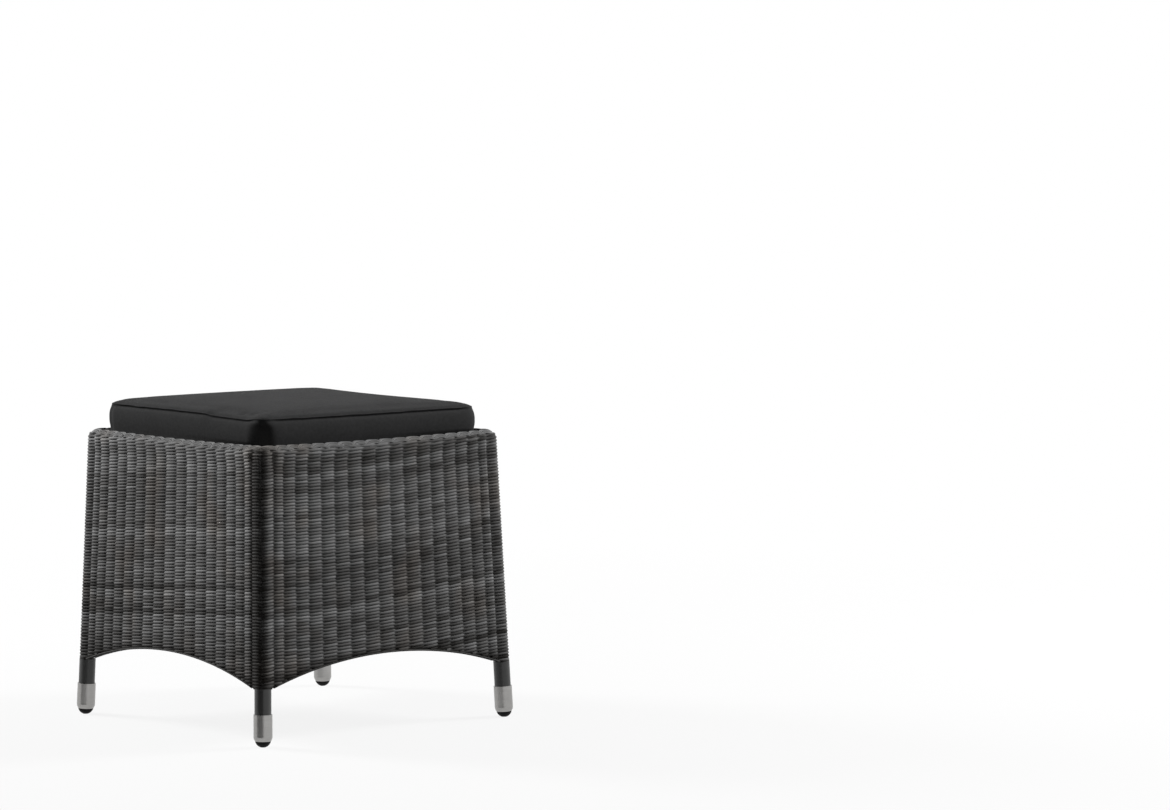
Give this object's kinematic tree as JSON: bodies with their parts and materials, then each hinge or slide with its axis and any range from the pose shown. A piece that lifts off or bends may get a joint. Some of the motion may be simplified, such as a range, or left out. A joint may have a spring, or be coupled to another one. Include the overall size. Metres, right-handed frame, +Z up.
{
  "type": "woven rattan stool",
  "caption": "Square woven rattan garden stool with arched sides, a rolled rim and a loose box cushion on a woven deck.",
  "frame": {"origin": "on the floor at the middle of the stool's footprint", "axes": "+Z up, -Y out of the front wall, +X to the right when facing the rear"},
  "size_m": [0.487, 0.487, 0.4914],
  "materials": {
    "woven_strand": "round grey synthetic strand",
    "frame_paint": "powder coated tube",
    "leg_paint": "dark graphite powder coat",
    "ferrule_metal": "satin",
    "glide_plastic": "black moulded plastic",
    "cushion_fabric": "charcoal woven polyester",
    "foam": "open cell foam",
    "zip_tape": "black zip tape with moulded coil",
    "zip_metal": "black enamelled"
  },
  "bodies": {
    "frame": {"corner_post_rear_right": "frame_paint", "corner_post_rear_left": "frame_paint", "corner_post_front_left": "frame_paint", "corner_post_front_right": "frame_paint", "leg_sleeve_rear_right": "leg_paint", "leg_sleeve_rear_left": "leg_paint", "leg_sleeve_front_left": "leg_paint", "leg_sleeve_front_right": "leg_paint", "ferrule_rear_right": "ferrule_metal", "ferrule_rear_left": "ferrule_metal", "ferrule_front_left": "ferrule_metal", "ferrule_front_right": "ferrule_metal", "foot_glide_rear_right": "glide_plastic", "foot_glide_rear_left": "glide_plastic", "foot_glide_front_left": "glide_plastic", "foot_glide_front_right": "glide_plastic", "corner_weave_rear_right": "woven_strand", "corner_weave_rear_left": "woven_strand", "corner_weave_front_left": "woven_strand", "corner_weave_front_right": "woven_strand", "top_rail_rear": "frame_paint", "top_rail_left": "frame_paint", "top_rail_front": "frame_paint", "top_rail_right": "frame_paint", "arch_rail_rear": "frame_paint", "arch_rail_left": "frame_paint", "arch_rail_front": "frame_paint", "arch_rail_right": "frame_paint", "rim_braid_rear": "woven_strand", "rim_braid_left": "woven_strand", "rim_braid_front": "woven_strand", "rim_braid_right": "woven_strand", "arch_binding_rear": "woven_strand", "arch_binding_left": "woven_strand", "arch_binding_front": "woven_strand", "arch_binding_right": "woven_strand", "woven_wall_rear": "woven_strand", "woven_wall_left": "woven_strand", "woven_wall_front": "woven_strand", "woven_wall_right": "woven_strand", "leg_inserts": "glide_plastic", "post_plugs": "glide_plastic", "wall_stakes": "woven_strand", "deck_rail_rear": "frame_paint", "deck_rail_front": "frame_paint", "deck_rail_right": "frame_paint", "deck_rail_left": "frame_paint", "deck_bars": "frame_paint", "seat_weave": "woven_strand"},
    "cushion": {"cushion_top": "cushion_fabric", "cushion_boxing": "cushion_fabric", "cushion_bottom": "cushion_fabric", "cushion_foam": "foam", "piping_low": "cushion_fabric", "piping_high": "cushion_fabric", "zip_tape": "zip_tape"},
    "zip_slider": {"zip_slider": "zip_metal"},
    "zip_pull": {"zip_pull": "zip_metal"}
  },
  "joints": [
    {"name": "cushion_lift", "type": "slide", "parent": "frame", "child": "cushion", "axis": [0, 0, 1], "range_m": [0, 0.15]},
    {"name": "zip_slide", "type": "slide", "parent": "cushion", "child": "zip_slider", "axis": [1, 0, 0], "range_m": [0, 0.31]},
    {"name": "pull_turn", "type": "hinge", "parent": "zip_slider", "child": "zip_pull", "pos_m": [-0.155, 0.20105, 0.45967], "axis": [0, 0, 1], "range_deg": [0, 180]}
  ]
}
